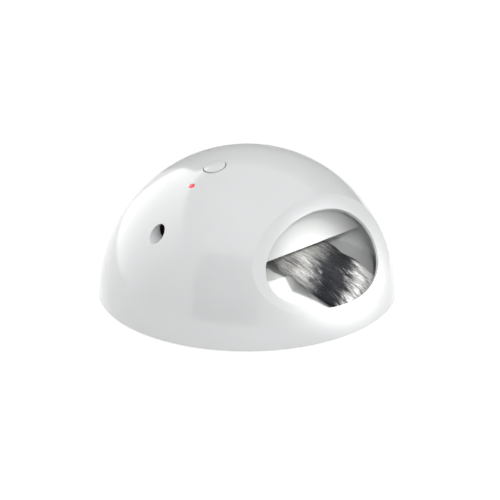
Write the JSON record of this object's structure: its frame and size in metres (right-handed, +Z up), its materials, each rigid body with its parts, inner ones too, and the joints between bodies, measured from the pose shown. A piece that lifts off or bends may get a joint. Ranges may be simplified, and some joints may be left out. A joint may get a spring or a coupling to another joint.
{
  "type": "cat laser toy",
  "caption": "White dome cat toy with dished paw openings at the sides, a spinning fur tail inside, a panning laser behind a round window, a key and a red lamp.",
  "frame": {"origin": "centre of the circle of rubber feet, on the plane they stand on", "axes": "+Z up; -Y towards the laser window, lamp and key; the paw openings face +X and -X"},
  "size_m": [0.1796, 0.1796, 0.0859],
  "materials": {
    "white_gloss": "moulded ABS, polished outside",
    "white_satin": "moulded ABS, fine satin",
    "grey_rubber": "soft moulded pads",
    "cell_jacket": "printed jacket with no text",
    "spring_steel": "plated spring steel",
    "zinc_steel": "zinc plated",
    "nylon": "natural nylon",
    "bronze": "sintered bronze",
    "grey_plastic": "moulded, fine texture",
    "fur": "long pile, grey-brown, black and pale",
    "motor_can": "drawn can",
    "brass": "turned",
    "clear_lens": "polished",
    "black_plastic": "moulded",
    "green_board": "solder mask",
    "red_lens": "tinted clear lens"
  },
  "bodies": {
    "base": {"dome_shell": "white_gloss", "base_plate": "white_satin", "mechanism_housing": "white_satin", "rubber_feet": "grey_rubber", "battery_cells": "cell_jacket", "cell_springs": "spring_steel", "cell_contacts": "spring_steel", "base_screws": "zinc_steel", "housing_screws": "zinc_steel", "spindle": "zinc_steel", "idler_pin": "zinc_steel", "thrust_washer": "nylon", "motor_bracket": "grey_plastic", "drive_motor": "motor_can", "pan_post": "grey_plastic", "pan_servo": "black_plastic", "control_board": "green_board", "controller_chip": "black_plastic", "capacitor": "motor_can", "lead_socket": "nylon", "switch_board": "green_board", "tact_switch": "black_plastic", "button_spring": "spring_steel", "status_lamp": "red_lens", "lamp_holder": "black_plastic"},
    "tail": {"tail_rotor": "grey_plastic", "tail_gear": "nylon", "rotor_bush": "bronze", "tail_stub": "grey_plastic", "fur_tail": "fur"},
    "idler": {"idler_gear": "nylon"},
    "pinion": {"motor_pinion": "brass"},
    "laser": {"laser_carriage": "nylon", "laser_barrel": "brass", "laser_lens": "clear_lens"},
    "pan_pinion": {"servo_pinion": "nylon"},
    "button": {"button_cap": "white_gloss"},
    "door": {"battery_door": "white_satin"}
  },
  "joints": [
    {"name": "tail_spin", "type": "hinge", "parent": "base", "child": "tail", "pos_m": [0, 0, 0.03], "axis": [0, 0, 1], "continuous": true},
    {"name": "idler_spin", "type": "hinge", "parent": "base", "child": "idler", "pos_m": [0, 0.028, 0.0387], "axis": [0, 0, 1], "continuous": true},
    {"name": "motor_spin", "type": "hinge", "parent": "base", "child": "pinion", "pos_m": [0.015, 0.028, 0.0387], "axis": [0, 0, 1], "continuous": true},
    {"name": "laser_pan", "type": "hinge", "parent": "base", "child": "laser", "pos_m": [0, -0.05, 0.053], "axis": [0, 0, 1], "range_deg": [-12, 12]},
    {"name": "servo_spin", "type": "hinge", "parent": "base", "child": "pan_pinion", "pos_m": [0.01273, -0.03727, 0.0387], "axis": [0, 0, 1], "range_deg": [-45, 45]},
    {"name": "button_press", "type": "slide", "parent": "base", "child": "button", "axis": [0, 0.284, -0.9588], "range_m": [0, 0.0008], "stiffness_N_per_m": 400, "springref_m": -0.002},
    {"name": "battery_door_slide", "type": "slide", "parent": "base", "child": "door", "axis": [0, 1, 0], "range_m": [0, 0.012]}
  ],
  "couplings": [
    {"joint": "idler_spin", "follows": "tail_spin", "ratio": -1.8},
    {"joint": "motor_spin", "follows": "tail_spin", "ratio": 3.6},
    {"joint": "servo_spin", "follows": "laser_pan", "ratio": -2}
  ]
}
